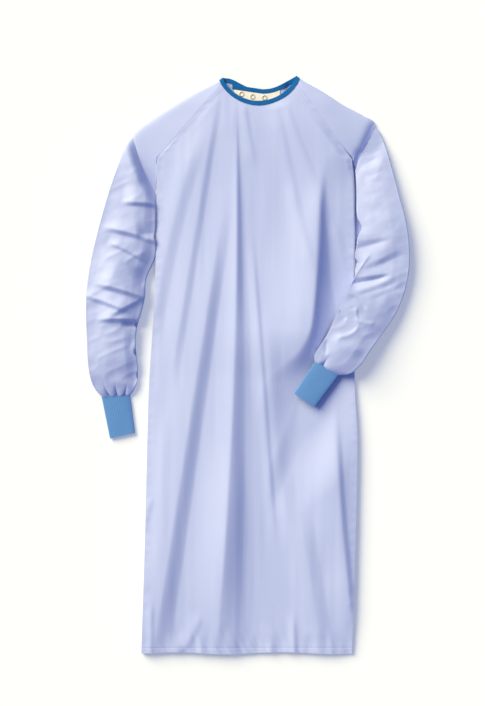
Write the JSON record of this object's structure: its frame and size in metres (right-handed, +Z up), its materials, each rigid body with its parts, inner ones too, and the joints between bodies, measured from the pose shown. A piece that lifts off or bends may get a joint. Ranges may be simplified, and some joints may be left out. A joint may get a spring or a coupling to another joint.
{
  "type": "cover gown",
  "caption": "Long-sleeved raglan cover gown laid flat on its back, with knit cuffs, a bound neck, an overlapping open back and ring snaps on an inner neck tape.",
  "frame": {"origin": "on the underside of the back, where the gown rests, at mid length and near the middle of its width", "axes": "+Z up out of the surface it lies on, through the front of the gown; +Y towards the neck; +X towards the wearer's left"},
  "size_m": [0.7142, 1.2743, 0.0492],
  "materials": {
    "cover_cloth": "fine plain-weave polyester, soft sheen",
    "rib_knit": "matte rib knit",
    "binding_cloth": "matte folded binding",
    "twill_tape": "matte twill",
    "nickel": "plated ring snaps"
  },
  "bodies": {
    "root": {"front_panel": "cover_cloth", "back_panel_right": "cover_cloth", "back_panel_left": "cover_cloth", "sleeve_right": "cover_cloth", "sleeve_left": "cover_cloth", "cuff_right": "rib_knit", "cuff_left": "rib_knit", "neck_binding": "binding_cloth", "snap_tape": "twill_tape", "snap_ring_1": "nickel", "snap_ring_2": "nickel", "snap_ring_3": "nickel"}
  },
  "joints": []
}
